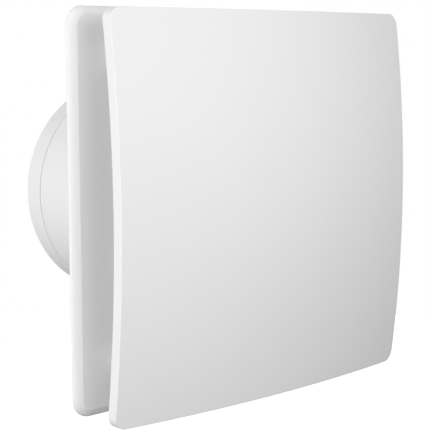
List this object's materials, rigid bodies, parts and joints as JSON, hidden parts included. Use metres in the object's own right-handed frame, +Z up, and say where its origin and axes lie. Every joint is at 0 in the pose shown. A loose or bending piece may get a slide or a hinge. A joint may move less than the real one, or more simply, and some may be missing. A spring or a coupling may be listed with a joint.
{
  "type": "heat recovery unit",
  "caption": "Square white wall unit for push-pull heat recovery: a bowed cover stands off a thin back plate, with a fan and a ceramic core in a round duct spigot behind it.",
  "frame": {"origin": "centre of the round duct spigot, on the wall face that the back plate rests on", "axes": "+Y into the wall along the duct, -Y into the room, +Z up, +X to the right for someone looking at the cover"},
  "size_m": [0.1624, 0.118, 0.1624],
  "materials": {
    "white_shell": "smooth white moulding, soft satin gloss",
    "inner_moulding": "fine-textured off-white moulding",
    "grey_moulding": "satin grey moulding",
    "ceramic": "dry matt cordierite honeycomb",
    "sealing_foam": "closed-cell foam",
    "filter_foam": "open-cell filter foam",
    "rubber": "soft moulded rubber",
    "lead_jacket": "smooth cable jacket",
    "motor_steel": "pressed steel",
    "bright_steel": "zinc-plated steel",
    "ferrite": "bonded ferrite",
    "copper_wire": "enamelled copper winding",
    "circuit_board": "green solder mask",
    "black_component": "moulded component case",
    "clear_plastic": "clear light pipe"
  },
  "bodies": {
    "casing": {"rear_housing": "white_shell", "wall_gasket": "sealing_foam", "inner_shroud": "inner_moulding", "cover_grommet_1": "rubber", "cover_grommet_2": "rubber", "cover_grommet_3": "rubber", "cover_grommet_4": "rubber", "clamping_screw_1": "bright_steel", "clamping_screw_2": "bright_steel", "clamping_screw_3": "bright_steel", "clamping_screw_4": "bright_steel", "duct_spigot": "white_shell", "spigot_end_ring": "white_shell", "heat_exchanger_core": "ceramic", "core_sleeve": "sealing_foam", "core_filter": "filter_foam", "fan_housing": "inner_moulding", "stator_core": "motor_steel", "stator_coil_1": "copper_wire", "stator_coil_2": "copper_wire", "stator_coil_3": "copper_wire", "stator_coil_4": "copper_wire", "motor_board": "circuit_board", "front_bearing": "bright_steel", "rear_bearing": "bright_steel", "motor_lead": "lead_jacket", "control_box": "inner_moulding", "control_box_lid": "inner_moulding", "lid_screw_1": "bright_steel", "lid_screw_2": "bright_steel", "control_board": "circuit_board", "power_module": "black_component", "capacitor": "black_component", "push_switch": "black_component", "status_led": "clear_plastic", "status_lens": "clear_plastic", "terminal_block": "inner_moulding", "terminal_screw_1": "bright_steel", "terminal_screw_2": "bright_steel", "terminal_screw_3": "bright_steel", "cable_grommet": "rubber", "cable_clamp": "grey_moulding", "clamp_screw_1": "bright_steel", "clamp_screw_2": "bright_steel", "button_spring": "bright_steel"},
    "cover": {"front_cover": "white_shell"},
    "rotor": {"impeller": "grey_moulding", "rotor_yoke": "motor_steel", "magnet_ring": "ferrite", "motor_shaft": "bright_steel", "shaft_clip": "bright_steel"},
    "filter_cassette": {"filter_frame": "inner_moulding", "filter_mat": "filter_foam"},
    "button": {"mode_button": "white_shell"}
  },
  "joints": [
    {"name": "impeller_spin", "type": "hinge", "parent": "casing", "child": "rotor", "pos_m": [0, 0, 0], "axis": [0, 1, 0], "continuous": true},
    {"name": "cover_pull", "type": "slide", "parent": "casing", "child": "cover", "axis": [0, -1, 0], "range_m": [0, 0.04]},
    {"name": "filter_withdraw", "type": "slide", "parent": "casing", "child": "filter_cassette", "axis": [1, 0, 0], "range_m": [0, 0.105]},
    {"name": "button_press", "type": "slide", "parent": "casing", "child": "button", "axis": [0, 0, 1], "range_m": [0, 0.0012], "stiffness_N_per_m": 500, "springref_m": -0.001, "deforming": ["button_spring"]}
  ]
}
